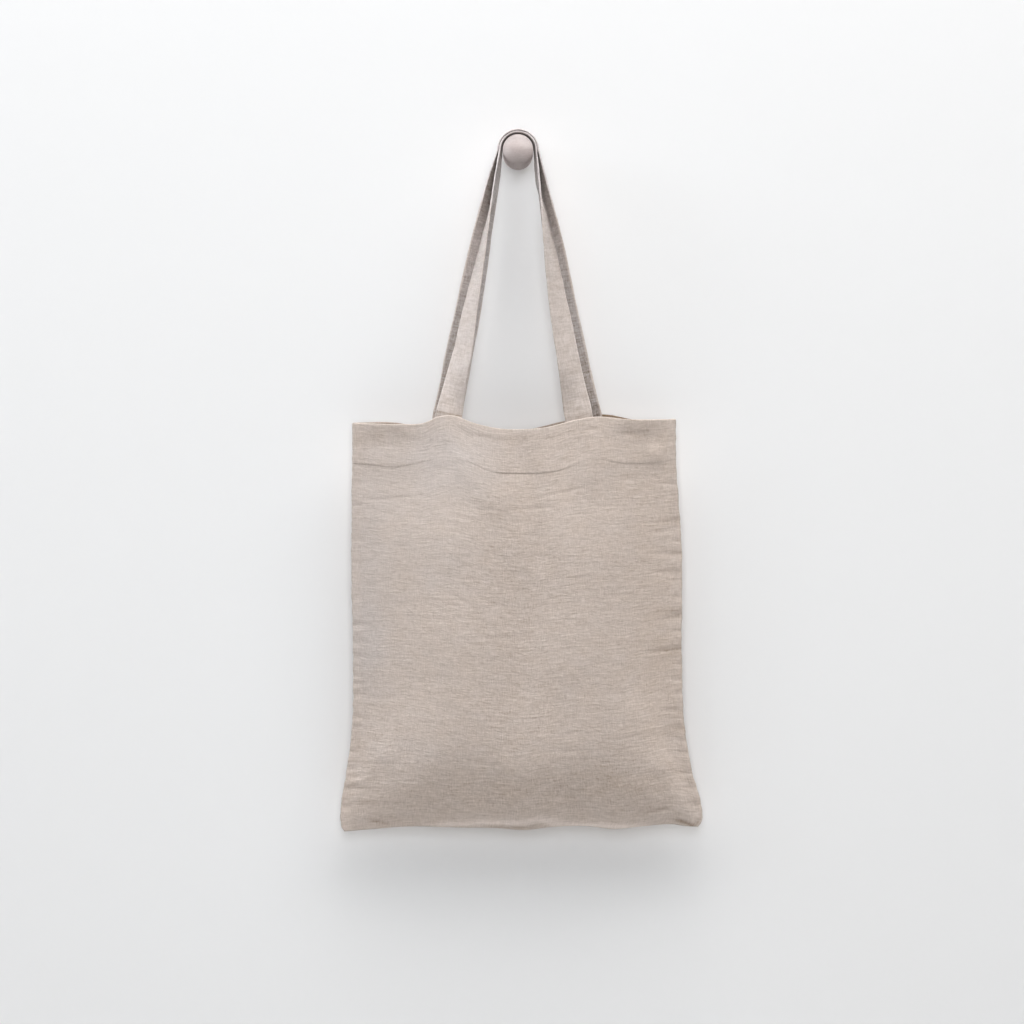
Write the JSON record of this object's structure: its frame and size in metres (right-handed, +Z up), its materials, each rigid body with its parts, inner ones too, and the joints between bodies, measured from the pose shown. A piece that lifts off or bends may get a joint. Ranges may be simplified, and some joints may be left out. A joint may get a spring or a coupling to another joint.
{
  "type": "linen shopping bag on a wooden wall peg",
  "caption": "Flat linen shopping bag with two long handles, hanging by both handles on a plain round wooden wall peg.",
  "frame": {"origin": "centre of the peg's flat back face, on the wall", "axes": "+Z up, +Y into the wall, +X to the right as one looks at the wall"},
  "size_m": [0.3806, 0.0664, 0.7378],
  "materials": {
    "linen": "matt plain-weave linen",
    "strap_linen": "matt folded and stitched linen strap",
    "pale_wood": "plain sanded pale wood"
  },
  "bodies": {
    "root": {"front_panel": "linen", "back_panel": "linen", "front_handle": "strap_linen", "back_handle": "strap_linen", "peg": "pale_wood"}
  },
  "joints": []
}
